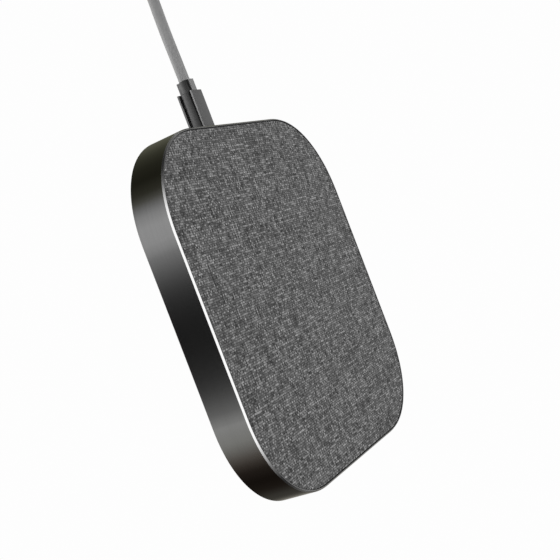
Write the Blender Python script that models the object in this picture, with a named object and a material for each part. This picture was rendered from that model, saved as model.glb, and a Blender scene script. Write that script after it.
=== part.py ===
"""A wireless charging pad: an aluminium rim with a fabric-covered top, its electronics, and its lead.

Metres, +Z up. The origin is under the middle of the pad on the surface that it stands on, and the
lead leaves towards +Y.
"""

import math

import bmesh
import bpy
import numpy as np
from mathutils import Matrix

MM = 0.001
GAP = 0.3 * MM  # clearance between pieces that touch

# plan of the pad: a square whose corners are long superellipse curves
HALF = 50.0 * MM
CORNER_REACH = 26.6 * MM
CORNER_POWER = 2.16
CORNER_STEPS = 10

# heights
RIM_LOW = 1.0 * MM
RIM_TOP = 11.33 * MM
CHAMFER = 0.5 * MM
CHAMFER_WIDTH = 0.34 * MM
LIP = 0.22 * MM
LEDGE = 8.9 * MM
LEDGE_DEPTH = 1.0 * MM
WALL = 1.6 * MM

BASE_LOW = 1.2 * MM
BASE_FLOOR = 2.6 * MM
BASE_WALL_TOP = 6.6 * MM
BASE_WALL = 1.0 * MM

FOOT_INSET = 8.0 * MM
FOOT_WIDTH = 3.4 * MM
FOOT_TOP = 1.4 * MM

FABRIC = 0.5 * MM
FABRIC_GAP = 0.15 * MM  # the cover fills the rim more closely than the hard pieces do
FABRIC_TOP = 11.25 * MM
PLATE_LOW = LEDGE + GAP
SCREW_INSET = FOOT_INSET + FOOT_WIDTH / 2

# screws: heads up in the base, threads into the top plate's bosses
SCREW_BOSS = 2.6 * MM
SCREW_JOINT = 5.0 * MM
HEAD_RADIUS = 1.8 * MM
HEAD_SEAT = 3.2 * MM
HEAD_HEIGHT = 1.1 * MM
THREAD_RADIUS = 1.0 * MM
SCREW_TIP = 8.0 * MM

# the charging coil's stack, from the base's pedestal up to the top plate
COIL_OUTER = 22.0 * MM
COIL_INNER = 10.0 * MM
COIL_PACK = 25.0 * MM
SHIELD_LOW = 4.9 * MM
PEDESTAL = (17.0 * MM, 20.0 * MM)  # the ring on the base that carries the stack
STACK = [
    ("shield_plate", None, COIL_PACK, 0.5 * MM, "aluminium"),
    ("ferrite_sheet", None, COIL_PACK, 0.8 * MM, "ferrite"),
    ("transmit_coil", COIL_INNER, COIL_OUTER, 1.1 * MM, "copper"),
    ("foam_pad", None, 24.0 * MM, 0.7 * MM, "foam"),
]

# the circuit board, beside the coil on the lead's side
BOARD_SIZE = (46.0 * MM, 15.0 * MM)
BOARD_Y = 34.5 * MM
BOARD_LOW = 3.5 * MM
BOARD_THICK = 1.0 * MM
BOARD_SCREWS = (-20.0 * MM, 20.0 * MM)
BOARD_SCREW = (1.4 * MM, 0.7 * MM, 0.6 * MM, 2.5 * MM)  # head radius and height, thread radius and length
SCREW_HOLE = 0.9 * MM
POST = 1.9 * MM
WIRE = 0.4 * MM

# the lead and its moulded strain relief
CORD_WIDTH = 3.2 * MM
LEAD_X = -4.5 * MM
LEAD_Z = 3.68 * MM
RELIEF_WIDTH = 5.5 * MM
RELIEF_HEIGHT = 5.0 * MM
RELIEF_SLEEVE = 1.9 * MM
RELIEF_LONG_END = 62.1 * MM
RELIEF_END = 65.5 * MM
# half of the core's section between the flanges, in mm from the lead's axis: wide below, undercut above
RELIEF_CORE = [(1.6, -2.2), (1.6, -1.6), (2.15, -1.35), (2.15, 0.0), (1.95, 0.45), (1.2, 1.2), (1.2, 2.2)]
FIN_WIDTH = 2.2 * MM
FIN_HEIGHT = 4.4 * MM
ANCHOR_Y = 43.5 * MM  # inner face of the block that holds the relief inside

# the wound part of the lead: four turns wide, two high, kept just off the surface by its ties
TURNS_WIDE = 4
TURNS_HIGH = 2
INNER_TURN = 4.5 * CORD_WIDTH
OUTER_TURN = INNER_TURN + (TURNS_WIDE - 1) * CORD_WIDTH
TIE = 0.6 * MM
COIL_LOW = 0.05 * MM + TIE + GAP
COIL_ENTRY = -1.9 * MM  # where the lead runs into the outer turn
COIL_Y = 129.0 * MM
COIL_X = COIL_ENTRY + OUTER_TURN
# where a tangent run clears the coil, measured from where it touches
COIL_JOIN = math.sqrt((OUTER_TURN + CORD_WIDTH + GAP) ** 2 - OUTER_TURN ** 2)

# the plug
PLUG_X = COIL_X + 27.0 * MM
PLUG_Z = 3.75 * MM
PLUG_SIZE = (18.0 * MM, 15.6 * MM, 7.4 * MM)
PLUG_RELIEF = 7.0 * MM
SHELL_SIZE = (12.0 * MM, 12.0 * MM, 4.5 * MM)
SHELL_WALL = 0.3 * MM

# finish: colour, roughness, metallic
FINISHES = {
    "anodised": ((0.055, 0.055, 0.058), 0.35, 1.0),
    "fabric": ((0.12, 0.12, 0.122), 0.95, 0.0),
    "black_plastic": ((0.018, 0.018, 0.019), 0.55, 0.0),
    "silicone": ((0.03, 0.03, 0.032), 0.8, 0.0),
    "grey_jacket": ((0.13, 0.13, 0.135), 0.5, 0.0),
    "foam": ((0.35, 0.35, 0.36), 0.95, 0.0),
    "copper": ((0.72, 0.36, 0.18), 0.35, 1.0),
    "ferrite": ((0.06, 0.06, 0.065), 0.6, 0.0),
    "steel": ((0.55, 0.55, 0.56), 0.3, 1.0),
    "aluminium": ((0.75, 0.75, 0.76), 0.35, 1.0),
    "circuit_board": ((0.02, 0.16, 0.06), 0.45, 0.0),
    "chip": ((0.02, 0.02, 0.022), 0.5, 0.0),
    "ceramic": ((0.42, 0.31, 0.2), 0.5, 0.0),
    "red_wire": ((0.5, 0.03, 0.03), 0.5, 0.0),
    "black_wire": ((0.02, 0.02, 0.02), 0.5, 0.0),
    "white_wire": ((0.8, 0.8, 0.8), 0.5, 0.0),
    "green_wire": ((0.03, 0.35, 0.08), 0.5, 0.0),
    "strap": ((0.03, 0.03, 0.032), 0.9, 0.0),
    "gold": ((0.83, 0.62, 0.25), 0.25, 1.0),
}


def material(name, finish):
    colour, roughness, metallic = FINISHES[finish]
    made = bpy.data.materials.new(name + "_" + finish)
    made.use_nodes = True
    shader = made.node_tree.nodes["Principled BSDF"]
    shader.inputs["Base Color"].default_value = (*colour, 1.0)
    shader.inputs["Roughness"].default_value = roughness
    shader.inputs["Metallic"].default_value = metallic
    return made


def add(name, bm, finish, location=(0, 0, 0), smooth=True):
    """Turns a bmesh into a named object with its own material."""
    bmesh.ops.recalc_face_normals(bm, faces=bm.faces)
    mesh = bpy.data.meshes.new(name)
    bm.to_mesh(mesh)
    bm.free()
    piece = bpy.data.objects.new(name, mesh)
    piece.location = location
    bpy.context.scene.collection.objects.link(piece)
    if finish:
        mesh.materials.append(material(name, finish))
    if smooth:
        mesh.shade_smooth()
        mesh.set_sharp_from_angle(angle=math.radians(35))
    return piece


def skin(rings, closed):
    """Joins rings of points with faces, and caps the ends unless the last ring meets the first."""
    bm = bmesh.new()
    loops = [[bm.verts.new(point) for point in ring] for ring in rings]
    pairs = list(zip(loops, loops[1:]))
    if closed:
        pairs.append((loops[-1], loops[0]))
    for low, high in pairs:
        for k in range(len(low)):
            bm.faces.new((low[k - 1], low[k], high[k], high[k - 1]))
    if not closed:
        bm.faces.new(loops[0])
        bm.faces.new(loops[-1])
    return bm


def outline(inset):
    """The pad's plan, this far inside its edge, as points counter-clockwise."""
    flat = HALF - CORNER_REACH
    turn = np.linspace(0, math.pi / 2, CORNER_STEPS + 1)
    x = flat + (CORNER_REACH - inset) * np.cos(turn).clip(0) ** (2 / CORNER_POWER)
    y = flat + (CORNER_REACH - inset) * np.sin(turn).clip(0) ** (2 / CORNER_POWER)
    corners = [(x, y), (-y, x), (-x, -y), (y, -x)]
    return [(float(a), float(b)) for xs, ys in corners for a, b in zip(xs, ys)]


def shell(profile, closed):
    """Carries a profile of (inset, height) round the pad's plan."""
    return skin([[(x, y, z) for x, y in outline(inset)] for inset, z in profile], closed)


def turned(profile, closed=False, sides=48):
    """Turns a profile of (radius, height) about Z."""
    angles = [2 * math.pi * k / sides for k in range(sides)]
    rings = [[(r * math.cos(a), r * math.sin(a), z) for a in angles] for r, z in profile]
    return skin(rings, closed)


def ring_profile(inner, outer, low, high):
    return [(inner, low), (outer, low), (outer, high), (inner, high)]


def cylinder(radius, low, high, sides=16):
    return turned([(radius, low), (radius, high)], sides=sides)


def block(size, bevel=0.0):
    """A box about its own centre, with its edges bevelled."""
    bm = bmesh.new()
    bmesh.ops.create_cube(bm, size=1.0)
    bmesh.ops.scale(bm, vec=size, verts=bm.verts)
    if bevel:
        bmesh.ops.bevel(bm, geom=bm.edges[:], offset=bevel, segments=1, affect="EDGES")
    return bm


def box_between(low, high):
    """A box between two corners."""
    bm = block([b - a for a, b in zip(low, high)])
    bmesh.ops.translate(bm, vec=[(a + b) / 2 for a, b in zip(low, high)], verts=bm.verts)
    return bm


def combine(piece, tools, operation):
    """Adds or cuts away tool bodies, which stay as hidden wire objects."""
    for number, (bm, location) in enumerate(tools):
        tool = add(f"{piece.name}_{operation.lower()}_{number}", bm, None, location, smooth=False)
        tool.hide_render = True
        tool.display_type = "WIRE"
        modifier = piece.modifiers.new(f"{operation.lower()}_{number}", "BOOLEAN")
        modifier.operation = operation
        modifier.object = tool


def tube(name, points, radius, finish, sides_resolution=2):
    """A round wire or cord through points, with flat ends."""
    curve = bpy.data.curves.new(name, "CURVE")
    curve.dimensions = "3D"
    curve.bevel_depth = radius
    curve.bevel_resolution = sides_resolution
    curve.use_fill_caps = True
    spline = curve.splines.new("POLY")
    spline.points.add(len(points) - 1)
    for point, place in zip(spline.points, points):
        point.co = (*place, 1.0)
    curve.materials.append(material(name, finish))
    piece = bpy.data.objects.new(name, curve)
    bpy.context.scene.collection.objects.link(piece)
    return piece


def smooth_run(route, spacing):
    """Points at an even spacing along the smooth curve through a route's own points."""
    route = np.array(route, float)
    ends = np.vstack([2 * route[0] - route[1], route, 2 * route[-1] - route[-2]])
    fine = []
    for a, b, c, d in zip(ends, ends[1:], ends[2:], ends[3:]):
        for t in np.linspace(0, 1, 24, endpoint=False):
            fine.append(b + t / 2 * ((c - a) + t * ((2 * a - 5 * b + 4 * c - d)
                                                  + t * (3 * (b - c) + d - a))))
    fine = np.array(fine + [route[-1]])
    along = np.concatenate([[0], np.cumsum(np.linalg.norm(np.diff(fine, axis=0), axis=1))])
    count = max(2, round(along[-1] / spacing) + 1)
    wanted = np.linspace(0, along[-1], count)
    return [tuple(float(np.interp(s, along, fine[:, k])) for k in range(3)) for s in wanted]


def corner_points(inset):
    """The four places on a plan line where its corners turn through 45 degrees."""
    reach = HALF - CORNER_REACH + (CORNER_REACH - inset) * 0.5 ** (1 / CORNER_POWER)
    return [(sx * reach, sy * reach) for sx in (-1, 1) for sy in (-1, 1)]


def relief_opening():
    """The space that the strain relief takes in the rim and the base."""
    side = RELIEF_WIDTH / 2 + GAP
    low = (LEAD_X - side, HALF - 3.8 * MM, 0.0)
    return box_between(low, (LEAD_X + side, HALF + 2 * MM, LEAD_Z + RELIEF_HEIGHT / 2 + GAP))


def make_rim():
    rim_inner = CHAMFER_WIDTH + LIP
    ledge_inner = WALL + 1.2 * MM
    profile = [
        (0.15 * MM, RIM_LOW), (0.0, RIM_LOW + 0.15 * MM), (0.0, RIM_TOP - CHAMFER),
        (CHAMFER_WIDTH, RIM_TOP), (rim_inner, RIM_TOP), (rim_inner, LEDGE), (ledge_inner, LEDGE),
        (ledge_inner, LEDGE - LEDGE_DEPTH), (WALL, LEDGE - 2 * LEDGE_DEPTH), (WALL, RIM_LOW),
    ]
    rim = add("rim", shell(profile, closed=True), "anodised")
    combine(rim, [(relief_opening(), (0, 0, 0))], "DIFFERENCE")


def make_base():
    """The underside tray, with a groove for the foot ring, posts, and counterbored screw bosses."""
    outer = WALL + GAP
    groove_out, groove_in = FOOT_INSET - GAP, FOOT_INSET + FOOT_WIDTH + GAP
    groove_roof = FOOT_TOP + GAP
    profile = [
        (groove_in, BASE_LOW), (groove_in, groove_roof), (groove_out, groove_roof),
        (groove_out, BASE_LOW), (outer + 0.3 * MM, BASE_LOW), (outer, BASE_LOW + 0.3 * MM),
        (outer, BASE_WALL_TOP), (outer + BASE_WALL, BASE_WALL_TOP), (outer + BASE_WALL, BASE_FLOOR),
    ]
    base = add("base_cover", shell(profile, closed=False), "black_plastic")
    root = BASE_FLOOR - 0.5 * MM
    corners = corner_points(SCREW_INSET)
    posts = [(cylinder(SCREW_BOSS, root, SCREW_JOINT), (x, y, 0)) for x, y in corners]
    posts += [(cylinder(POST, root, BOARD_LOW - GAP), (x, BOARD_Y, 0)) for x in BOARD_SCREWS]
    pedestal = ring_profile(*PEDESTAL, root, SHIELD_LOW - GAP)
    posts.append((turned(pedestal, closed=True), (0, 0, 0)))
    combine(base, posts, "UNION")
    holes = []
    for x, y in corners:
        holes.append((cylinder(HEAD_RADIUS + GAP, 0, HEAD_SEAT), (x, y, 0)))
        holes.append((cylinder(THREAD_RADIUS + GAP, HEAD_SEAT - 0.1 * MM, SCREW_TIP), (x, y, 0)))
    holes += [(cylinder(SCREW_HOLE, 2 * MM, SCREW_TIP), (x, BOARD_Y, 0)) for x in BOARD_SCREWS]
    combine(base, holes + [(relief_opening(), (0, 0, 0))], "DIFFERENCE")


def make_foot():
    inner = FOOT_INSET + FOOT_WIDTH
    soft = 0.3 * MM
    profile = [
        (FOOT_INSET, FOOT_TOP), (FOOT_INSET, soft), (FOOT_INSET + soft, 0.0), (inner - soft, 0.0),
        (inner, soft), (inner, FOOT_TOP),
    ]
    add("foot_ring", shell(profile, closed=True), "silicone")


def make_top():
    """The plate that lies on the rim's ledge, and the fabric stretched over it."""
    fabric_edge = CHAMFER_WIDTH + LIP + FABRIC_GAP
    plate_edge = fabric_edge + FABRIC + GAP
    plate_top = FABRIC_TOP - FABRIC - GAP
    plate = add("top_plate", shell([(plate_edge, PLATE_LOW), (plate_edge, plate_top)], closed=False),
                "black_plastic")
    corners = corner_points(SCREW_INSET)
    bosses = [(cylinder(SCREW_BOSS, SCREW_JOINT + GAP, PLATE_LOW + 0.5 * MM), (x, y, 0))
              for x, y in corners]
    holes = [(cylinder(THREAD_RADIUS + GAP, 0, SCREW_TIP + GAP), (x, y, 0)) for x, y in corners]
    combine(plate, bosses, "UNION")
    combine(plate, holes, "DIFFERENCE")
    inner = fabric_edge + FABRIC
    hem = PLATE_LOW + 0.2 * MM
    profile = [
        (inner, FABRIC_TOP - FABRIC), (inner, hem), (fabric_edge, hem),
        (fabric_edge, FABRIC_TOP - 0.3 * MM), (fabric_edge + 0.1 * MM, FABRIC_TOP - 0.1 * MM),
        (fabric_edge + 0.3 * MM, FABRIC_TOP),
    ]
    add("fabric_cover", shell(profile, closed=False), "fabric")


def screw(name, head_radius, head_height, thread_radius, thread_length, location, down):
    """A pan-head screw with a cross-shaped recess, its head's underside at its origin."""
    profile = [
        (head_radius * 0.8, -head_height), (head_radius, -head_height * 0.7), (head_radius, 0.0),
        (thread_radius, 0.0), (thread_radius, thread_length - thread_radius),
        (thread_radius * 0.5, thread_length),
    ]
    piece = add(name, turned(profile, sides=16), "steel", location)
    if down:
        piece.rotation_euler = (math.pi, 0, 0)
    slot = head_radius * 0.3
    for size in ((head_radius * 1.2, slot, slot * 2), (slot, head_radius * 1.2, slot * 2)):
        tool = add(f"{name}_recess", block(size), None, (0, 0, -head_height), smooth=False)
        tool.parent = piece
        tool.hide_render = True
        tool.display_type = "WIRE"
        modifier = piece.modifiers.new("recess", "BOOLEAN")
        modifier.operation = "DIFFERENCE"
        modifier.object = tool


def make_screws():
    for number, (x, y) in enumerate(corner_points(SCREW_INSET), 1):
        seat = (x, y, HEAD_SEAT - GAP)
        screw(f"screw_{number}", HEAD_RADIUS, HEAD_HEIGHT, THREAD_RADIUS,
              SCREW_TIP - HEAD_SEAT + GAP, seat, down=False)
    for number, x in enumerate(BOARD_SCREWS, 1):
        seat = (x, BOARD_Y, BOARD_LOW + BOARD_THICK + GAP)
        screw(f"board_screw_{number}", *BOARD_SCREW, seat, down=True)


def make_coil_stack():
    low = SHIELD_LOW
    for name, inner, outer, thickness, finish in STACK:
        high = low + thickness
        if inner:
            piece = turned(ring_profile(inner, outer, low, high), closed=True)
            frame = ring_profile(outer + GAP, COIL_PACK, low, high)
            add("coil_frame", turned(frame, closed=True), "black_plastic")
            middle = (0, 0, low + 0.45 * MM)
            add("thermistor", block((1.6 * MM, 0.8 * MM, 0.8 * MM), 0.1 * MM), "ceramic", middle)
        else:
            piece = cylinder(outer, low, high, sides=48)
        add(name, piece, finish)
        low = high + GAP


def board_parts():
    """Each part on the board: name, centre x, centre y from the board's middle, size, finish."""
    parts = [
        ("power_inductor", -13.5 * MM, 0.0, (6.0 * MM, 6.0 * MM, 3.0 * MM), "ferrite"),
        ("controller_chip", -5.0 * MM, 0.0, (6.0 * MM, 6.0 * MM, 0.9 * MM), "chip"),
    ]
    for number in range(4):
        row, column = divmod(number, 2)
        parts.append((f"mosfet_{number + 1}", (3.2 + 4.2 * column) * MM, (5.0 * row - 2.5) * MM,
                      (3.0 * MM, 3.0 * MM, 0.9 * MM), "chip"))
    for number in range(4):
        parts.append((f"resonant_capacitor_{number + 1}", 13.0 * MM, (2.6 * number - 3.9) * MM,
                      (3.2 * MM, 1.6 * MM, 1.6 * MM), "ceramic"))
    return parts


def make_board():
    middle = (0, BOARD_Y, BOARD_LOW + BOARD_THICK / 2)
    board = add("main_board", block((*BOARD_SIZE, BOARD_THICK)), "circuit_board", middle, smooth=False)
    holes = [(cylinder(SCREW_HOLE, 0, RIM_TOP), (x, BOARD_Y, 0)) for x in BOARD_SCREWS]
    combine(board, holes, "DIFFERENCE")
    top = BOARD_LOW + BOARD_THICK + GAP
    for name, x, y, size, finish in board_parts():
        add(name, block(size, 0.15 * MM), finish, (x, BOARD_Y + y, top + size[2] / 2), smooth=False)


def make_wires():
    """The lead's four cores from the strain relief to the board, and the coil's two ends."""
    top = BOARD_LOW + BOARD_THICK + GAP + WIRE
    finishes = {"wire_supply": "red_wire", "wire_ground": "black_wire",
                "wire_data_plus": "green_wire", "wire_data_minus": "white_wire"}
    for number, (name, finish) in enumerate(finishes.items()):
        x = LEAD_X + (number - 1.5) * 1.6 * MM
        route = [(x, ANCHOR_Y - GAP, LEAD_Z + 1.2 * MM), (x, 42.4 * MM, LEAD_Z + 1.4 * MM),
                 (x, 41.0 * MM, top), (x, 39.2 * MM, top)]
        tube(name, smooth_run(route, 1.0 * MM), WIRE, finish, 1)
    for number, x in enumerate((17.0 * MM, 18.6 * MM), 1):
        lead_z = SHIELD_LOW + 2.9 * MM
        start = COIL_PACK + 0.6 * MM
        y = math.sqrt(start ** 2 - x ** 2)
        route = [(x, y, lead_z), (x, y + 4 * MM, lead_z), (x, y + 7.5 * MM, top + 0.6 * MM),
                 (x, y + 9.5 * MM, top)]
        tube(f"coil_lead_{number}", smooth_run(route, 1.2 * MM), WIRE, "copper", 1)


def make_relief():
    """The moulded strain relief: a block held inside, then a core between two flanges and a sleeve."""
    half_width, half_height = RELIEF_WIDTH / 2, RELIEF_HEIGHT / 2
    wall_block = box_between((-half_width, HALF - 3.5 * MM, -half_height),
                             (half_width, HALF + 0.4 * MM, half_height))
    relief = add("strain_relief", wall_block, "grey_jacket", (LEAD_X, 0, LEAD_Z))
    here = tuple(relief.location)
    anchor = box_between((-4.2 * MM, ANCHOR_Y, BASE_FLOOR + GAP - LEAD_Z),
                         (4.2 * MM, HALF - 3.4 * MM, half_height + 0.2 * MM))
    upper = box_between((-half_width, HALF, half_height - 0.55 * MM),
                        (half_width, RELIEF_LONG_END, half_height))
    lower = box_between((-half_width, HALF, -half_height),
                        (half_width, RELIEF_LONG_END, 0.55 * MM - half_height))
    side = [(x * MM, z * MM) for x, z in RELIEF_CORE]
    section = side + [(-x, z) for x, z in reversed(side)]
    core = skin([[(x, y, z) for x, z in section] for y in (HALF, RELIEF_LONG_END - 0.05 * MM)], closed=False)
    fins = box_between((-FIN_WIDTH / 2, HALF, -FIN_HEIGHT / 2), (FIN_WIDTH / 2, RELIEF_END, FIN_HEIGHT / 2))
    sleeve = cylinder(RELIEF_SLEEVE, RELIEF_LONG_END - 0.6 * MM, RELIEF_END - 0.05 * MM, sides=20)
    bmesh.ops.rotate(sleeve, matrix=Matrix.Rotation(-math.pi / 2, 3, "X"), verts=sleeve.verts)
    combine(relief, [(bm, here) for bm in (anchor, upper, lower, core, fins, sleeve)], "UNION")


def make_cord():
    """The lead: straight out, down to the surface, into the coil, and from the coil to the plug."""
    radius = CORD_WIDTH / 2
    first_turn = COIL_LOW + radius
    last_turn = COIL_LOW + radius + (TURNS_HIGH - 1) * CORD_WIDTH
    route = [
        (LEAD_X, RELIEF_END + GAP, LEAD_Z), (LEAD_X, 72.0 * MM, 3.61 * MM),
        (-4.45 * MM, 77.0 * MM, 3.5 * MM), (-4.2 * MM, 81.5 * MM, 3.35 * MM), (-3.75 * MM, 86.0 * MM, 3.16 * MM),
        (-3.15 * MM, 90.0 * MM, 2.92 * MM), (-2.6 * MM, 94.0 * MM, 2.58 * MM), (-2.2 * MM, 98.0 * MM, 2.18 * MM),
        (-1.97 * MM, 102.0 * MM, 1.84 * MM), (COIL_ENTRY, 106.0 * MM, 1.7 * MM),
        (COIL_ENTRY, 110.5 * MM, 2.0 * MM), (COIL_ENTRY, COIL_Y - COIL_JOIN, first_turn),
    ]
    tube("cord", smooth_run(route, 2.0 * CORD_WIDTH), radius, "grey_jacket")
    side = COIL_Y + OUTER_TURN
    route = [
        (COIL_X + COIL_JOIN, side, last_turn - 0.3 * MM), (COIL_X + 17.5 * MM, side, last_turn - 0.9 * MM),
        (COIL_X + 21.5 * MM, side, PLUG_Z + 0.4 * MM), (PLUG_X - GAP, side, PLUG_Z),
    ]
    tube("cord_tail", smooth_run(route, 2.0 * CORD_WIDTH), radius, "grey_jacket")
    inner = INNER_TURN - radius
    outer = OUTER_TURN + radius
    high = COIL_LOW + TURNS_HIGH * CORD_WIDTH
    coil = turned(ring_profile(inner, outer, COIL_LOW, high), closed=True)
    add("cord_coil", coil, "grey_jacket", (COIL_X, COIL_Y, 0))
    for number, angle in enumerate((math.radians(-45), math.radians(135)), 1):
        make_tie(f"cable_tie_{number}", angle, inner, outer, high)


def make_tie(name, angle, inner, outer, high):
    """A flat strap round the coil's turns."""
    width = 6.0 * MM
    loops = []
    for spread in (GAP + TIE, GAP):
        loops.append([(inner - spread - 0.1 * MM, COIL_LOW - spread), (outer + spread, COIL_LOW - spread),
                      (outer + spread, high + spread), (inner - spread - 0.1 * MM, high + spread)])
    sides = []
    for place in (-width / 2, width / 2):
        sides.append([[(x, place, z) for x, z in loop] for loop in loops])
    rings = [sides[0][0], sides[1][0], sides[1][1], sides[0][1]]
    strap = add(name, skin(rings, closed=True), "strap", (COIL_X, COIL_Y, 0), smooth=False)
    strap.rotation_euler = (0, 0, angle)


def make_plug():
    """A flat rectangular plug at the lead's end, lying beside the coil with its contacts up."""
    side = COIL_Y + OUTER_TURN
    relief = turned([(2.1 * MM, 0.0), (2.9 * MM, PLUG_RELIEF)], sides=20)
    bmesh.ops.rotate(relief, matrix=Matrix.Rotation(math.pi / 2, 3, "Y"), verts=relief.verts)
    add("plug_relief", relief, "grey_jacket", (PLUG_X, side, PLUG_Z))
    body_x = PLUG_X + PLUG_RELIEF + GAP
    add("plug_body", block(PLUG_SIZE, 1.2 * MM), "grey_jacket",
        (body_x + PLUG_SIZE[0] / 2, side, PLUG_Z), smooth=False)
    shell_x = body_x + PLUG_SIZE[0] + GAP
    length, width, height = SHELL_SIZE
    middle = (shell_x + length / 2, side, PLUG_Z)
    shell_piece = add("plug_shell", block(SHELL_SIZE), "steel", middle, smooth=False)
    hollow = block((length + 2 * MM, width - 2 * SHELL_WALL, height - 2 * SHELL_WALL))
    windows = [(block((2.2 * MM, 2.4 * MM, height + 2 * MM)),
                (middle[0] - 0.5 * MM, side + y, PLUG_Z)) for y in (-2.5 * MM, 2.5 * MM)]
    combine(shell_piece, [(hollow, middle)] + windows, "DIFFERENCE")
    tongue = (9.0 * MM, width - 2 * SHELL_WALL - 2 * GAP, 1.8 * MM)
    floor = PLUG_Z - height / 2 + SHELL_WALL + GAP
    add("plug_tongue", block(tongue), "black_plastic",
        (shell_x + tongue[0] / 2, side, floor + tongue[2] / 2), smooth=False)
    contact = (7.0 * MM, 1.0 * MM, 0.2 * MM)
    for number in range(4):
        y = side + (number - 1.5) * 2.4 * MM
        add(f"plug_contact_{number + 1}", block(contact), "gold",
            (shell_x + 4.4 * MM, y, floor + tongue[2] + GAP + contact[2] / 2), smooth=False)


def main():
    for old in list(bpy.data.objects):
        bpy.data.objects.remove(old, do_unlink=True)
    make_rim()
    make_base()
    make_foot()
    make_top()
    make_screws()
    make_coil_stack()
    make_board()
    make_wires()
    make_relief()
    make_cord()
    make_plug()


main()
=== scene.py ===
import math

import bmesh
import bpy
import numpy as np
from mathutils import Matrix, Vector


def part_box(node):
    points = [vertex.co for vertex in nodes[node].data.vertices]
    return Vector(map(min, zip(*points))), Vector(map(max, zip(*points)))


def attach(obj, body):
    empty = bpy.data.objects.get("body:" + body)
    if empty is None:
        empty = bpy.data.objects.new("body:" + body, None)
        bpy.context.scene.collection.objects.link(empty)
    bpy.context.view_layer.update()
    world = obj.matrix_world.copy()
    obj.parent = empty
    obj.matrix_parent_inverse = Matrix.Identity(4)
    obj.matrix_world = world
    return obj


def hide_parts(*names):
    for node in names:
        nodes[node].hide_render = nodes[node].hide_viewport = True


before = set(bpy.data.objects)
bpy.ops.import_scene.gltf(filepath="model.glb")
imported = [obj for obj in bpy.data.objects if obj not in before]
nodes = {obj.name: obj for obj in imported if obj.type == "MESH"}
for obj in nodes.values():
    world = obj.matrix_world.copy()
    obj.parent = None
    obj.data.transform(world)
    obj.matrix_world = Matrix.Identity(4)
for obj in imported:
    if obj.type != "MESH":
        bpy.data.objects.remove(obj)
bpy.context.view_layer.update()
mm = 0.001

# the pad's plan, shared by the rim, the cover and the foot
plan = {
    "half": 50.0 * mm,
    "cornerReach": 26.6 * mm,  # how far each corner's curve reaches along a side
    "cornerPower": 2.16,  # 2 is a circle, more is squarer
    "cornerSteps": 44,
    "sideSteps": 16,
}


def added(name, data):
    made = bpy.data.objects.new(name, data)
    bpy.context.scene.collection.objects.link(made)
    return made


def meshPiece(name, points, quads, fans=(), uv=None):
    # points (n, 3), quads (m, 4) and fans [(ring, pole)], where a ring of points closes on one pole
    faces = [tuple(int(i) for i in quad) for quad in quads]
    for ring, pole in fans:
        faces += [(int(a), int(b), int(pole)) for a, b in zip(ring, np.roll(ring, -1))]
    mesh = bpy.data.meshes.new(name)
    mesh.from_pydata(points.tolist(), [], faces)
    if uv is not None:
        layer = mesh.uv_layers.new(name="UVMap")
        flat = np.zeros((len(mesh.loops), 2), np.float32)
        flat[: len(uv)] = uv
        layer.data.foreach_set("uv", flat.ravel())
    bm = bmesh.new()
    bm.from_mesh(mesh)
    bmesh.ops.recalc_face_normals(bm, faces=bm.faces)
    bm.to_mesh(mesh)
    bm.free()
    mesh.shade_smooth()
    return added(name, mesh)


def gridPiece(name, grid, wrapRows=False):
    # grid (rows, columns, 3): columns always close on themselves, rows close when wrapRows, and otherwise
    # each end row closes on a pole at its own middle; UV runs 0 to 1 along both
    rows, columns = grid.shape[:2]
    index = np.arange(rows * columns).reshape(rows, columns)
    below = index if wrapRows else index[:-1]
    above = np.roll(index, -1, 0) if wrapRows else index[1:]
    quads = np.stack([below, np.roll(below, -1, 1), np.roll(above, -1, 1), above], -1).reshape(-1, 4)
    points = grid.reshape(-1, 3)
    r, c = np.meshgrid(np.arange(len(below)), np.arange(columns), indexing="ij")
    corners = [(c, r), (c + 1, r), (c + 1, r + 1), (c, r + 1)]
    uv = np.stack([np.stack([a / columns, b / rows], -1) for a, b in corners], 2).reshape(-1, 2)
    fans = []
    if not wrapRows:
        points = np.vstack([points, grid[0].mean(0), grid[-1].mean(0)])
        fans = [(index[0], rows * columns), (index[-1], rows * columns + 1)]
    return meshPiece(name, points, quads, fans, uv)


def easedProfile(corners, radius, steps=3, closed=False):
    # rounds each corner of a polyline with the parabola (1-t)^2 start + 2t(1-t) corner + t^2 end, whose ends
    # are `radius` away along its sides, and adds a point just outside each end of the curve, which keeps the
    # flats flat when shaded
    mostOfSide = 0.4  # how much of a side one rounding may take
    guard = 1.35  # where the outer point lies, in radii
    mostGuard = 0.45  # and at most in sides
    corners = np.array(corners, float)
    count = len(corners)
    found = []
    for k in range(count):
        here = corners[k]
        if not closed and k in (0, count - 1):
            found.append(here)
            continue
        before, after = corners[k - 1] - here, corners[(k + 1) % count] - here
        lengths = np.linalg.norm(before), np.linalg.norm(after)
        reach = min(radius, mostOfSide * min(lengths))
        start = here + before * reach / lengths[0]
        end = here + after * reach / lengths[1]
        found.append(here + before * min(guard * reach, mostGuard * lengths[0]) / lengths[0])
        for t in np.linspace(0, 1, steps + 1):
            found.append((1 - t) ** 2 * start + 2 * t * (1 - t) * here + t ** 2 * end)
        found.append(here + after * min(guard * reach, mostGuard * lengths[1]) / lengths[1])
    return np.array(found)


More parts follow.
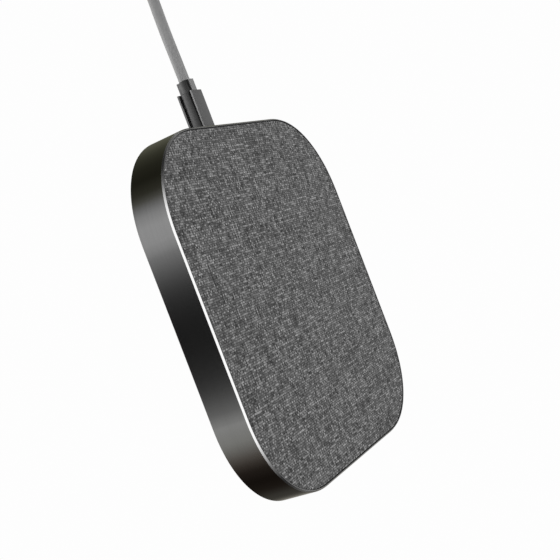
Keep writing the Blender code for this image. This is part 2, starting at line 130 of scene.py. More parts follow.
def planRing(inset):
    # one quarter is a straight half side, then x = flat + r cos(t)^(2/n), y = flat + r sin(t)^(2/n);
    # the other three quarters are turns of it
    flat = plan["half"] - plan["cornerReach"]
    reach = plan["cornerReach"] - inset
    t = np.linspace(0, math.pi / 2, plan["cornerSteps"] + 1)
    power = 2 / plan["cornerPower"]
    x = flat + reach * np.cos(t).clip(0) ** power
    y = flat + reach * np.sin(t).clip(0) ** power
    corner = np.stack([x, y], 1)
    side = np.linspace(flat, -flat, plan["sideSteps"] + 1)[1:-1]
    edge = np.stack([side, np.full(len(side), flat + reach)], 1)
    quarter = np.vstack([corner, edge])
    turns = []
    for k in range(4):
        turns.append(quarter)
        quarter = np.stack([-quarter[:, 1], quarter[:, 0]], 1)
    return np.vstack(turns)


def levelRing(ring, height):
    return np.column_stack([ring, np.full(len(ring), height)])


def planSurface(name, profile):
    # a closed profile of (inset, height) carried round the plan
    rings = [levelRing(planRing(inset), height) for inset, height in profile]
    return gridPiece(name, np.array(rings), wrapRows=True)


def softenedCopy(name, node, width):
    # a CAD solid's own shape with its doubles merged and its hard edges rounded
    sameSpot = 0.01 * mm
    flatAngle = math.radians(2)
    hardAngle = math.radians(32)
    mesh = nodes[node].data.copy()
    bm = bmesh.new()
    bm.from_mesh(mesh)
    bmesh.ops.remove_doubles(bm, verts=bm.verts, dist=sameSpot)
    bmesh.ops.dissolve_limit(bm, angle_limit=flatAngle, verts=bm.verts, edges=bm.edges)
    bm.to_mesh(mesh)
    bm.free()
    mesh.materials.clear()
    mesh.name = name
    mesh.shade_smooth()
    piece = added(name, mesh)
    bevel = piece.modifiers.new("softEdges", "BEVEL")
    bevel.width = width
    bevel.segments = 2
    bevel.limit_method = "ANGLE"
    bevel.angle_limit = hardAngle
    bevel.harden_normals = True
    return piece


def place(piece, slot, material, *replaced):
    # rides on the one body, takes its finish, and stands for its CAD nodes
    piece.data.materials.clear()
    piece.data.materials.append(material)
    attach(piece, "root")
    if replaced:
        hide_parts(*replaced)
    return piece


def node(tree, kind, inputs=None, **settings):
    # a shader node whose inputs are linked where the value is a socket, and set otherwise
    made = tree.nodes.new("ShaderNode" + kind)
    for key, value in settings.items():
        setattr(made, key, value)
    for key, value in (inputs or {}).items():
        if isinstance(value, bpy.types.NodeSocket):
            tree.links.new(value, made.inputs[key])
        else:
            made.inputs[key].default_value = value
    return made


def calc(tree, operation, *values):
    return node(tree, "Math", dict(enumerate(values)), operation=operation).outputs[0]


def noise(tree, spot, scale, detail, roughness=0.5):
    inputs = {"Vector": spot, "Scale": scale, "Detail": detail, "Roughness": roughness}
    return node(tree, "TexNoise", inputs).outputs[0]


def timesVector(tree, vector, factor):
    return node(tree, "VectorMath", {0: vector, "Scale": factor}, operation="SCALE").outputs[0]


def average(tree, first, second):
    return calc(tree, "MULTIPLY_ADD", first, 0.5, calc(tree, "MULTIPLY", second, 0.5))


def rescaled(tree, value, found, wanted):
    # carries the range `found` to the range `wanted`, and holds what lies outside it at the ends
    limits = {"From Min": found[0], "From Max": found[1], "To Min": wanted[0], "To Max": wanted[1]}
    return node(tree, "MapRange", {"Value": value, **limits}).outputs[0]


def newMaterial(name, colour, roughness, metallic=0.0):
    made = bpy.data.materials.new(name)
    made.use_nodes = True
    made.diffuse_color = (*colour, 1.0)
    shader = made.node_tree.nodes["Principled BSDF"]
    shader.inputs["Base Color"].default_value = (*colour, 1.0)
    shader.inputs["Roughness"].default_value = roughness
    shader.inputs["Metallic"].default_value = metallic
    return made, made.node_tree, shader


def shaded(colour, factor=1.0):
    return tuple(min(1.0, part * factor) for part in colour) + (1.0,)


def grainMaterial(name, colour, roughness, metallic=0.0, scale=900, depth=0.02, variation=0.15,
                  stretch=(1, 1, 1)):
    # a moulded or rolled surface: fine noise varies the tone and the roughness and raises a slight relief
    made, tree, shader = newMaterial(name, colour, roughness, metallic)
    lowNoise, highNoise = 0.3, 0.7  # between which most of the noise lies
    spread = 0.06  # of the roughness
    spot = node(tree, "TexCoord").outputs["Object"]
    spot = node(tree, "Mapping", {"Vector": spot, "Scale": stretch}).outputs[0]
    fine = noise(tree, spot, scale, 3.0, 0.6)
    broad = noise(tree, spot, scale / 12, 2.0)
    tone = node(tree, "ValToRGB", {"Fac": average(tree, broad, fine)})
    tone.color_ramp.elements[0].position = lowNoise
    tone.color_ramp.elements[0].color = shaded(colour, 1 - variation)
    tone.color_ramp.elements[1].position = highNoise
    tone.color_ramp.elements[1].color = shaded(colour, 1 + variation)
    tree.links.new(tone.outputs[0], shader.inputs["Base Color"])
    limits = (max(0.03, roughness - spread), min(1.0, roughness + spread))
    rough = rescaled(tree, broad, (lowNoise, highNoise), limits)
    tree.links.new(rough, shader.inputs["Roughness"])
    bump = node(tree, "Bump", {"Height": fine, "Strength": 0.6, "Distance": depth * mm})
    tree.links.new(bump.outputs[0], shader.inputs["Normal"])
    return made


rimFinish = {
    "wall": (0.25, 0.25, 0.25),
    "wallRoughness": 0.14,
    "chamfer": (0.63, 0.63, 0.63),
    "chamferRoughness": 0.24,
    "anisotropy": 0.9,
    "anisotropyTurn": 0.25,  # highlights stretch across the turning marks
    "lineScale": (18.0, 18.0, 5200.0),  # turning marks, long round the rim and fine across its height
    "lineDepth": 0.0003 * mm,
    "cloudScale": 60.0,
    "variation": 0.14,
}


def rimMaterial():
    # dark anodising with fine turning marks that run round the rim
    made, tree, shader = newMaterial("anodisedWall", rimFinish["wall"], rimFinish["wallRoughness"], 1.0)
    spot = node(tree, "TexCoord").outputs["Object"]
    lines = node(tree, "Mapping", {"Vector": spot, "Scale": rimFinish["lineScale"]}).outputs[0]
    marks = noise(tree, lines, 1.0, 2.0)
    cloud = noise(tree, spot, rimFinish["cloudScale"], 2.0)
    tone = node(tree, "ValToRGB", {"Fac": average(tree, cloud, marks)})
    tone.color_ramp.elements[0].color = shaded(rimFinish["wall"], 1 - rimFinish["variation"])
    tone.color_ramp.elements[1].color = shaded(rimFinish["wall"], 1 + rimFinish["variation"])
    tree.links.new(tone.outputs[0], shader.inputs["Base Color"])
    shader.inputs["Anisotropic"].default_value = rimFinish["anisotropy"]
    shader.inputs["Anisotropic Rotation"].default_value = rimFinish["anisotropyTurn"]
    tangent = node(tree, "Tangent", direction_type="UV_MAP", uv_map="UVMap")
    tree.links.new(tangent.outputs[0], shader.inputs["Tangent"])
    bump = node(tree, "Bump", {"Height": marks, "Strength": 0.3, "Distance": rimFinish["lineDepth"]})
    tree.links.new(bump.outputs[0], shader.inputs["Normal"])
    return made


clothFinish = {
    "pitch": 0.60 * mm,  # from one thread to the next
    "dark": (0.023, 0.023, 0.023),
    "middle": (0.100, 0.100, 0.100),
    "light": (0.322, 0.322, 0.322),
    "toneStops": (0.34, 0.5, 0.68),  # where the noise is dark, middle and light
    "lanes": (7.31, 5.17),  # steps from thread to thread through the noise of the tones and of the slubs
    "threadLength": 3.0 * mm,  # how long a thread keeps one tone
    "slubLength": 9.0 * mm,  # and the longer, thicker streaks in it
    "slubShare": 0.38,
    "fibreScale": 5200.0,
    "fibreShare": 0.29,
    "wander": 0.35,  # sideways wander of the threads, in pitches
    "wanderScale": 160.0,
    "underlap": 0.4,  # height of a thread where it passes under
    "hollowPaintedShade": (0.3, 1.12),  # painted shade between the threads and a painted highlight on their crowns
    "relief": 0.07 * mm,
    "roughness": 0.92,
    "sheen": 0.15,
    "sheenRoughness": 0.5,
    "shine": 0.3,
}


def halfWave(tree, value):
    # sin(pi times the fraction of the value), which rises and falls once in each unit
    return calc(tree, "SINE", calc(tree, "MULTIPLY", calc(tree, "FRACT", value), math.pi))


def clothMaterial():
    # a plain weave on the cover's own X and Y: two sets of threads pass over each other in turn,
    # and each thread's tone changes along its length, which gives the mottled charcoal look
    made, tree, shader = newMaterial("wovenCharcoal", clothFinish["middle"], clothFinish["roughness"])
    spot = node(tree, "TexCoord").outputs["Object"]
    wanders = {"Vector": spot, "Scale": clothFinish["wanderScale"], "Detail": 1.0}
    bend = node(tree, "TexNoise", wanders).outputs["Color"]
    bend = node(tree, "VectorMath", {0: bend, 1: (-0.5, -0.5, -0.5)}, operation="ADD").outputs[0]
    bend = timesVector(tree, bend, clothFinish["wander"] * 2)
    pitches = timesVector(tree, spot, 1 / clothFinish["pitch"])
    moved = node(tree, "VectorMath", {0: pitches, 1: bend}, operation="ADD").outputs[0]
    across, along = node(tree, "SeparateXYZ", {0: moved}).outputs[:2]
    cells = [calc(tree, "FLOOR", value) for value in (across, along)]
    arcs = [halfWave(tree, value) for value in (across, along)]
    parity = calc(tree, "PINGPONG", calc(tree, "ADD", cells[0], cells[1]), 1.0)
    heights = []
    tones = []
    toneLane, slubLane = clothFinish["lanes"]
    underlap = clothFinish["underlap"]
    stretch = clothFinish["pitch"] / clothFinish["threadLength"]
    for k in range(2):
        over = parity if k == 0 else calc(tree, "SUBTRACT", 1.0, parity)
        crown = calc(tree, "POWER", arcs[k], 0.5)
        rise = calc(tree, "MULTIPLY_ADD", calc(tree, "MULTIPLY", over, arcs[1 - k]), 1 - underlap, underlap)
        heights.append(calc(tree, "MULTIPLY", crown, rise))
        run = calc(tree, "MULTIPLY", along if k == 0 else across, stretch)
        # each thread reads its own lane of the noise, and each set of threads its own layer
        lane = calc(tree, "MULTIPLY", cells[k], toneLane)
        thread = node(tree, "CombineXYZ", {0: lane, 1: run, 2: 40.0 * k}).outputs[0]
        slow = noise(tree, thread, 1.0, 2.5, 0.7)
        run = calc(tree, "MULTIPLY", run, clothFinish["threadLength"] / clothFinish["slubLength"])
        lane = calc(tree, "MULTIPLY", cells[k], slubLane)
        thread = node(tree, "CombineXYZ", {0: lane, 1: run, 2: 90.0 + 40.0 * k}).outputs[0]
        slub = calc(tree, "SUBTRACT", noise(tree, thread, 1.0, 1.0), 0.5)
        tones.append(calc(tree, "MULTIPLY_ADD", slub, clothFinish["slubShare"], slow))
    warpOnTop = calc(tree, "GREATER_THAN", heights[0], heights[1])
    top = calc(tree, "MAXIMUM", heights[0], heights[1])
    tone = node(tree, "Mix", {0: warpOnTop, 2: tones[1], 3: tones[0]}, data_type="FLOAT").outputs[0]
    fibre = noise(tree, spot, clothFinish["fibreScale"], 2.0)
    tone = calc(tree, "MULTIPLY_ADD", calc(tree, "SUBTRACT", fibre, 0.5), clothFinish["fibreShare"], tone)
    ramp = node(tree, "ValToRGB", {"Fac": tone})
    stops = ramp.color_ramp.elements
    darkStop, middleStop, lightStop = clothFinish["toneStops"]
    stops[0].position = darkStop
    stops[0].color = shaded(clothFinish["dark"])
    stops[1].position = lightStop
    stops[1].color = shaded(clothFinish["light"])
    stops.new(middleStop).color = shaded(clothFinish["middle"])
    # painted shade between the threads and a painted highlight on their crowns, by thread height
    depth = rescaled(tree, top, (0.25, 0.9), clothFinish["hollowPaintedShade"])
    tree.links.new(timesVector(tree, ramp.outputs[0], depth), shader.inputs["Base Color"])
    height = calc(tree, "MULTIPLY_ADD", fibre, 0.25, top)
    bump = node(tree, "Bump", {"Height": height, "Strength": 0.8, "Distance": clothFinish["relief"]})
    tree.links.new(bump.outputs[0], shader.inputs["Normal"])
    shader.inputs["Sheen Weight"].default_value = clothFinish["sheen"]
    shader.inputs["Sheen Roughness"].default_value = clothFinish["sheenRoughness"]
    shader.inputs["Specular IOR Level"].default_value = clothFinish["shine"]
    return made


def windingMaterial(name, colour, pitch):
    # turns of wire about the Z axis: the distance from the axis gives each turn its round, and paints shade
    # between the turns
    made, tree, shader = newMaterial(name, colour, 0.35, 1.0)
    spot = node(tree, "TexCoord").outputs["Object"]
    level = node(tree, "VectorMath", {0: spot, 1: (1.0, 1.0, 0.0)}, operation="MULTIPLY").outputs[0]
    radius = node(tree, "VectorMath", {0: level}, operation="LENGTH").outputs["Value"]
    turn = halfWave(tree, calc(tree, "DIVIDE", radius, pitch))
    # painted shade between the turns, full colour on their crowns
    ramp = node(tree, "ValToRGB", {"Fac": turn})
    ramp.color_ramp.elements[0].color = shaded(colour, 0.3)
    ramp.color_ramp.elements[1].color = shaded(colour)
    tree.links.new(ramp.outputs[0], shader.inputs["Base Color"])
    bump = node(tree, "Bump", {"Height": turn, "Strength": 0.8, "Distance": 0.2 * mm})
    tree.links.new(bump.outputs[0], shader.inputs["Normal"])
    return made


def cellMaterial(name, colour, roughness, scale, depth):
    # foam cells, strap loops or board traces: the distance to the nearest of many scattered points
    made, tree, shader = newMaterial(name, colour, roughness)
    spot = node(tree, "TexCoord").outputs["Object"]
    cells = node(tree, "TexVoronoi", {"Vector": spot, "Scale": scale}).outputs["Distance"]
    ramp = node(tree, "ValToRGB", {"Fac": cells})
    ramp.color_ramp.elements[0].color = shaded(colour, 0.6)
    ramp.color_ramp.elements[1].color = shaded(colour, 1.4)
    tree.links.new(ramp.outputs[0], shader.inputs["Base Color"])
    bump = node(tree, "Bump", {"Height": cells, "Strength": 0.7, "Distance": depth * mm})
    tree.links.new(bump.outputs[0], shader.inputs["Normal"])
    return made


view = {
    "place": (-280.18 * mm, 7.44 * mm, 154.14 * mm),
    "lookAt": (-8.30 * mm, 4.47 * mm, 11.33 * mm),
    "roll": 69.3,  # degrees, anticlockwise seen from behind the camera
    "lens": 72.36,
    "sensor": 36.0,
    "near": 0.01,  # metres
    "far": 20.0,
}


def makeCamera():
    data = bpy.data.cameras.new("camera")
    data.lens = view["lens"]
    data.sensor_width = view["sensor"]
    data.clip_start = view["near"]
    data.clip_end = view["far"]
    camera = added("camera", data)
    forward = (Vector(view["lookAt"]) - Vector(view["place"])).normalized()
    side = forward.cross(Vector((0, 0, 1))).normalized()
    level = side.cross(forward)
    turn = math.radians(view["roll"])
    right = side * math.cos(turn) + level * math.sin(turn)
    up = level * math.cos(turn) - side * math.sin(turn)
    camera.matrix_world = Matrix((right, up, -forward)).transposed().to_4x4()
    camera.location = view["place"]
    bpy.context.scene.camera = camera


softboxes = {
    # degrees round from -X towards +Y, degrees up, distance, width, height and brightness
    "top": (180.0, 74.0, 1.40, 1.20, 0.90, 8.2),
}
surround = {
    # what the polished parts mirror: brightness by degrees round from -X towards +Y, first for the
    # directions below the horizon and then for those above it
    "brightest": 2.5,
    "low": [
        (-170, 0.33), (-159, 0.41), (-146, 0.18), (-134, 0.09), (-122, 0.095), (-102, 0.038), (-81, 0.024),
        (-63, 0.055), (-53, 0.14), (-44, 0.28), (-25, 0.685), (-14, 0.78), (-8.2, 0.86), (-6.8, 0.36),
        (-5.6, 0.07), (-3.1, 0.025), (-1.0, 0.02), (0.6, 0.045), (1.9, 0.11), (3.1, 0.54), (4.0, 0.95),
        (21, 1.02), (33, 0.80), (40, 0.56), (50, 0.22), (59, 0.09), (78, 0.040), (98, 0.056), (119, 0.096),
        (137, 0.14), (156, 0.14), (172, 0.14),
    ],
    "high": [
        (-172, 0.40), (-156, 0.80), (-142, 1.20), (-128, 0.35), (-113, 0.10), (-97, 0.02), (-80, 0.03),
        (-63, 0.22), (-45, 0.85), (-30, 1.6), (27, 1.6), (42, 1.0), (60, 0.22), (78, 0.03), (95, 0.02),
        (125, 0.22), (138, 0.80), (152, 0.60), (172, 0.40),
    ],
    "horizon": (-0.12, 0.16),  # sines of the elevations between which the two meet
    # the low band is warmer at the sides: shares of green and blue by degrees round
    "warm": [
        (-172, 0.96, 0.84), (-120, 0.93, 0.78), (-95, 0.70, 0.52), (-60, 0.78, 0.62), (-30, 1.0, 0.93),
        (0, 1.0, 1.0), (40, 1.0, 1.0), (65, 0.97, 0.62), (120, 1.0, 0.68), (172, 1.0, 0.74),
    ],
}


def ringRamp(tree, turn, stops, tints):
    # a ramp round the horizon from (degrees, brightness) pairs and (degrees, green, blue) tints
    angles, greens, blues = zip(*tints)
    ramp = node(tree, "ValToRGB", {"Fac": turn})
    elements = ramp.color_ramp.elements
    elements.remove(elements[1])
    for k, (degrees, brightness) in enumerate(stops):
        stop = elements[0] if k == 0 else elements.new(1.0)
        stop.position = degrees / 360 + 0.5
        share = brightness / surround["brightest"]
        green = share * np.interp(degrees, angles, greens)
        blue = share * np.interp(degrees, angles, blues)
        stop.color = (share, green, blue, 1.0)
    return ramp.outputs[0]


floorFinish = {
    "reach": 3.0,  # metres each way
    "tone": 0.985,  # as the camera sees it, and what it sees beyond it
    "glow": 2.5,  # how strongly the pale floor lights the sides from below
}


def makeSurround():
    # the turn round the horizon is atan2(y, -x) as a share of a circle; two ramps on it meet at the horizon
    world = bpy.data.worlds.new("studio")
    world.use_nodes = True
    tree = world.node_tree
    split = node(tree, "SeparateXYZ", {0: node(tree, "TexCoord").outputs["Generated"]})
    turn = calc(tree, "ARCTAN2", split.outputs[1], calc(tree, "MULTIPLY", split.outputs[0], -1.0))
    turn = calc(tree, "MULTIPLY_ADD", turn, 1 / (2 * math.pi), 0.5)
    low = ringRamp(tree, turn, surround["low"], surround["warm"])
    high = ringRamp(tree, turn, surround["high"], [(0, 1.0, 1.0)])
    start, end = surround["horizon"]
    rise = node(tree, "MapRange", {"Value": split.outputs[2], "From Min": start, "From Max": end},
                interpolation_type="SMOOTHSTEP")
    seen = node(tree, "Mix", {0: rise.outputs[0], 6: low, 7: high}, data_type="RGBA").outputs[2]
    direct = node(tree, "LightPath").outputs["Is Camera Ray"]
    share = floorFinish["tone"] / surround["brightest"]
    seen = node(tree, "Mix", {0: direct, 6: seen, 7: (share, share, share, 1.0)}, data_type="RGBA").outputs[2]
    background = tree.nodes["Background"]
    tree.links.new(seen, background.inputs[0])
    background.inputs[1].default_value = surround["brightest"]
    world.cycles_visibility.diffuse = False
    bpy.context.scene.world = world


def makeLight():
    for name, (azimuth, up, distance, width, height, brightness) in softboxes.items():
        data = bpy.data.lights.new(name, "AREA")
        data.shape = "RECTANGLE"
        data.size = width
        data.size_y = height
        data.energy = brightness * math.pi * width * height
        light = added(name, data)
        turn = math.radians(azimuth)
        rise = math.radians(up)
        towards = Vector((-math.cos(turn) * math.cos(rise), math.sin(turn) * math.cos(rise), math.sin(rise)))
        light.location = towards * distance
        light.rotation_mode = "QUATERNION"
        light.rotation_quaternion = towards.to_track_quat("Z", "Y")
        light.visible_camera = False
        light.visible_glossy = False  # the surround is what the polished parts mirror
    bpy.context.scene.view_settings.view_transform = "Standard"


def makeFloor():
    reach = floorFinish["reach"]
    corners = reach * np.array([(-1, -1, 0), (1, -1, 0), (1, 1, 0), (-1, 1, 0)], float)
    floor = meshPiece("floor", corners, np.array([(0, 1, 2, 3)]))
    pale, tree, shader = newMaterial("paleFloor", (0.0, 0.0, 0.0), 1.0)
    shader.inputs["Specular IOR Level"].default_value = 0.0
    shader.inputs["Emission Color"].default_value = (1.0, 1.0, 1.0, 1.0)
    direct = node(tree, "LightPath").outputs["Is Camera Ray"]
    glow = calc(tree, "MULTIPLY_ADD", direct, floorFinish["tone"] - floorFinish["glow"], floorFinish["glow"])
    tree.links.new(glow, shader.inputs["Emission Strength"])
    floor.data.materials.append(pale)
    floor.visible_glossy = False  # the polished parts mirror the surround only


makeCamera()
makeSurround()
makeLight()
makeFloor()
print("camera, lights and floor are in place")

lead = {
    "diameter": 3.2 * mm,
    "length": 0.98,  # metres
    "exit": (-4.5 * mm, 65.55 * mm, 3.68 * mm),
    # the route's own points, from the strain relief to where the wound part begins
    "route": [
        (-4.5, 65.55, 3.68), (-4.5, 72.0, 3.61), (-4.45, 77.0, 3.5), (-4.2, 81.5, 3.35), (-3.75, 86.0, 3.16),
        (-3.15, 90.0, 2.92), (-2.6, 94.0, 2.58), (-2.2, 98.0, 2.18), (-1.97, 102.0, 1.84), (-1.9, 106.0, 1.7),
        (-1.9, 110.5, 2.0), (-1.9, 115.57, 2.55), (-1.9, 121.0, 2.55), (-1.9, 126.0, 2.55),
    ],
    # and from the wound part to the plug
    "tail": [(25.0, 153.0, 5.75), (30.0, 153.0, 5.68), (35.5, 153.0, 5.45), (39.6, 153.0, 4.85),
             (43.6, 153.0, 4.15), (48.8, 153.0, 3.75)],
    "pointSpacing": 2.0 * mm,
    "colour": (0.20, 0.20, 0.20),
    "roughness": 0.38,
}
winding = {
    "middle": (22.1 * mm, 129.0 * mm),
    "outerTurn": 24.0 * mm,
    "innerTurn": 14.4 * mm,
    "low": 2.55 * mm,  # centre of the lower layer
    "turns": 7.25,
    "pointsPerTurn": 40,
    "inward": (0.7, 1.0),  # where in a turn the radius steps in
    "outward": (0.1, 0.4),  # and where it steps out again
    "upward": (3.4, 3.7),  # where the second layer begins
}


def smoothStep(value, start, end):
    # 0 before start and 1 after end, with t^2 (3 - 2t) between them
    t = np.clip((value - start) / (end - start), 0, 1)
    return t * t * (3 - 2 * t)


def woundTurns():
    # turn count s runs clockwise from the -X side; the radius steps in by a diameter late in turns 0 to 2,
    # the height rises by one in turn 3, and the radius steps out again early in turns 4 to 6
    s = np.linspace(0, winding["turns"], int(winding["turns"] * winding["pointsPerTurn"]) + 1)[1:]
    inward = sum(smoothStep(s, *(k + edge for edge in winding["inward"])) for k in range(3))
    outward = sum(smoothStep(s, *(k + edge for edge in winding["outward"])) for k in range(4, 7))
    radius = winding["outerTurn"] - (inward - outward) * lead["diameter"]
    height = winding["low"] + smoothStep(s, *winding["upward"]) * lead["diameter"]
    angle = math.pi - 2 * math.pi * s
    x = winding["middle"][0] + radius * np.cos(angle)
    y = winding["middle"][1] + radius * np.sin(angle)
    return np.stack([x, y, height], 1)


def splined(route, spacing):
    # even steps along the Catmull-Rom curve through the route's points
    route = np.array(route, float)
    ends = np.vstack([2 * route[0] - route[1], route, 2 * route[-1] - route[-2]])
    a, b, c, d = (ends[k: len(ends) - 3 + k, None] for k in range(4))
    t = np.linspace(0, 1, 24, endpoint=False)[None, :, None]
    fine = b + t / 2 * ((c - a) + t * ((2 * a - 5 * b + 4 * c - d) + t * (3 * (b - c) + d - a)))
    fine = np.vstack([fine.reshape(-1, 3), route[-1]])
    along = np.concatenate([[0], np.cumsum(np.linalg.norm(np.diff(fine, axis=0), axis=1))])
    wanted = np.linspace(0, along[-1], round(along[-1] / spacing) + 1)
    return np.stack([np.interp(wanted, along, fine[:, k]) for k in range(3)], 1)


def makeLead():
    start = splined(np.array(lead["route"]) * mm, lead["pointSpacing"])
    tail = splined(np.array(lead["tail"]) * mm, lead["pointSpacing"])
    points = np.vstack([start, woundTurns(), tail])
    curve = bpy.data.curves.new("lead", "CURVE")
    curve.dimensions = "3D"
    curve.bevel_depth = lead["diameter"] / 2
    curve.bevel_resolution = 5
    curve.use_fill_caps = True
    spline = curve.splines.new("POLY")
    spline.points.add(len(points) - 1)
    spline.points.foreach_set("co", np.column_stack([points, np.ones(len(points))]).ravel())
    spline.use_smooth = True
    piece = added("lead", curve)
    jacket = grainMaterial("leadJacket", lead["colour"], lead["roughness"], scale=1500, depth=0.012,
                           variation=0.06)
    return place(piece, "jacket", jacket, "cord", "cord_coil", "cord_tail")


ties = {
    "width": 6.0 * mm,
    "thickness": 0.6 * mm,
    "slack": 0.25 * mm,
    "edge": 0.15 * mm,
    "corner": 0.28,  # 1 is an ellipse, less is squarer
    "angles": (-45.0, 135.0),  # where they hold the winding
    "colour": (0.02, 0.02, 0.022),
    "roughness": 0.95,
}


def signedPower(value, power):
    return np.sign(value) * np.abs(value) ** power


def makeTies():
    # a flat strap round the turns' section, x = a cos(t)^n and z = b sin(t)^n, turned to its place round Z
    strap = cellMaterial("hookAndLoop", ties["colour"], ties["roughness"], 2600.0, 0.12)
    radius = lead["diameter"] / 2
    inner = winding["innerTurn"] - radius
    outer = winding["outerTurn"] + radius
    low = winding["low"] - radius
    high = winding["low"] + 3 * radius
    t = np.linspace(0, 2 * math.pi, 96, endpoint=False)
    near = ties["slack"]
    far = ties["slack"] + ties["thickness"]
    side = ties["width"] / 2
    section = easedProfile([(near, side), (far, side), (far, -side), (near, -side)], ties["edge"], 2, True)
    rings = []
    for spread, across in section:
        x = (inner + outer) / 2 + ((outer - inner) / 2 + spread) * signedPower(np.cos(t), ties["corner"])
        z = (low + high) / 2 + ((high - low) / 2 + spread) * signedPower(np.sin(t), ties["corner"])
        rings.append(np.stack([x, np.full(len(t), across), z], 1))
    x, y, z = np.moveaxis(np.array(rings), -1, 0)
    pieces = []
    for number, degrees in enumerate(ties["angles"], 1):
        c = math.cos(math.radians(degrees))
        s = math.sin(math.radians(degrees))
        turned = np.stack([winding["middle"][0] + x * c - y * s, winding["middle"][1] + x * s + y * c, z], -1)
        piece = gridPiece(f"cableTie{number}", turned, wrapRows=True)
        pieces.append(place(piece, "strap", strap, f"cable_tie_{number}"))
    return pieces


plug = {
    "colour": (0.035, 0.035, 0.037),
    "roughness": 0.45,
    "corner": 4.5,  # squareness of the body's section
    "ends": 1.3 * mm,  # rounding of the body's ends
    "grip": (0.2, 0.62),  # the part of the body's length that is grooved
    "grooves": 4,
    "grooveDepth": 0.28 * mm,
    "reliefRadius": (2.05 * mm, 2.85 * mm),  # at the lead and at the body
    "reliefRings": 5,
    "reliefRingDepth": 0.22 * mm,
    "reliefPlain": 0.98,  # beyond this part of its length it has no ring
    "shell": (0.62, 0.62, 0.63),
    "shellRoughness": 0.28,
    "shellEdge": 0.1 * mm,
}


def sectionLoft(name, stations, middle, power):
    # sections |y/a|^p + |z/b|^p = 1 carried along X; each station is (x, a, b)
    t = np.linspace(0, 2 * math.pi, 72, endpoint=False)
    y = signedPower(np.cos(t), 2 / power)
    z = signedPower(np.sin(t), 2 / power)
    x, a, b = (np.array(values)[:, None] for values in zip(*stations))
    grid = np.stack([x + 0 * y, middle[0] + a * y, middle[1] + b * z], -1)
    return gridPiece(name, grid)


def makePlug():
    # the body's half width and height shrink by r - sqrt(r^2 - d^2) at its ends, and its sides by a
    # sin^2 wave over the grip; the strain relief is a cone with the same kind of wave
    low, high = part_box("plug_body")
    middle = ((low.y + high.y) / 2, (low.z + high.z) / 2)
    half = ((high.y - low.y) / 2, (high.z - low.z) / 2)
    x = np.linspace(low.x, high.x, 90)
    edge = np.minimum(x - low.x, high.x - x).clip(0, plug["ends"])
    inset = plug["ends"] - np.sqrt((plug["ends"] ** 2 - (plug["ends"] - edge) ** 2).clip(0))
    along = (x - low.x) / (high.x - low.x)
    start, end = plug["grip"]
    grip = np.where((along > start) & (along < end), 1.0, 0.0)
    wave = np.sin(math.pi * plug["grooves"] * (along - start) / (end - start)) ** 2
    grooves = grip * plug["grooveDepth"] * wave
    stations = list(zip(x, half[0] - inset - grooves, half[1] - inset))
    body = sectionLoft("plugBody", stations, middle, plug["corner"])
    soft = grainMaterial("plugMoulding", plug["colour"], plug["roughness"], scale=1300, variation=0.1)
    place(body, "jacket", soft, "plug_body")
    low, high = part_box("plug_relief")
    x = np.linspace(low.x, high.x, 80)
    along = (x - low.x) / (high.x - low.x)
    atLead, atBody = plug["reliefRadius"]
    rings = plug["reliefRingDepth"] * np.sin(math.pi * plug["reliefRings"] * along) ** 2
    rings = np.where(along < plug["reliefPlain"], rings, 0.0)
    radius = atLead + (atBody - atLead) * along - rings
    cone = sectionLoft("plugStrainRelief", list(zip(x, radius, radius)), middle, 2.0)
    place(cone, "jacket", soft, "plug_relief")
    steel = grainMaterial("platedShell", plug["shell"], plug["shellRoughness"], 1.0, scale=700, depth=0.004,
                          stretch=(1, 12, 12))
    shell = place(softenedCopy("plugShell", "plug_shell", plug["shellEdge"]), "steel", steel, "plug_shell")
    return [body, cone, shell]


relief = {
    "colour": (0.10, 0.10, 0.10),
    "roughness": 0.26,
    "shine": 0.3,
    "edge": 0.19 * mm,
    "hollow": (2.7 * mm, 4.6 * mm),  # heights over which painted shade darkens the core towards the upper flange
    "hollowPaintedShade": 0.03,  # share of the colour at the darkest of the painted shade
    "flange": 5.6 * mm,  # underside of the upper flange
    "flangePaintedLightHeights": (6.0 * mm, 6.15 * mm),  # heights between the flange's side, with its painted highlight, and its top
    "flangePaintedLightTones": (1.8, 0.8),  # shares of the colour on that side, a painted highlight, and on the top, a painted shade
}


def makeRelief():
    # the moulding's tone is painted by height: painted shade in the hollow below the upper flange, a painted
    # highlight on the flange's side and a painted shade on its top
    moulded = grainMaterial("reliefMoulding", relief["colour"], relief["roughness"], scale=1400,
                            variation=0.08)
    tree = moulded.node_tree
    shader = tree.nodes["Principled BSDF"]
    height = node(tree, "SeparateXYZ", {0: node(tree, "TexCoord").outputs["Object"]}).outputs[2]
    # painted shade in the hollow, then a painted highlight on the flange's side and painted shade on its top
    core = rescaled(tree, height, relief["hollow"], (1.0, relief["hollowPaintedShade"]))
    flange = rescaled(tree, height, relief["flangePaintedLightHeights"], relief["flangePaintedLightTones"])
    above = calc(tree, "GREATER_THAN", height, relief["flange"])
    shade = node(tree, "Mix", {0: above, 2: core, 3: flange}, data_type="FLOAT").outputs[0]
    tone = shader.inputs["Base Color"].links[0].from_socket
    tree.links.new(timesVector(tree, tone, shade), shader.inputs["Base Color"])
    shader.inputs["Specular IOR Level"].default_value = relief["shine"]
    piece = softenedCopy("strainRelief", "strain_relief", relief["edge"])
    return place(piece, "jacket", moulded, "strain_relief")


leadPiece = makeLead()
riders = makeTies() + makePlug() + [makeRelief()]
riders += [nodes[name] for name in ["plug_tongue"] + [f"plug_contact_{k}" for k in range(1, 5)]]
print("the lead, its strain relief, straps and plug are in place")

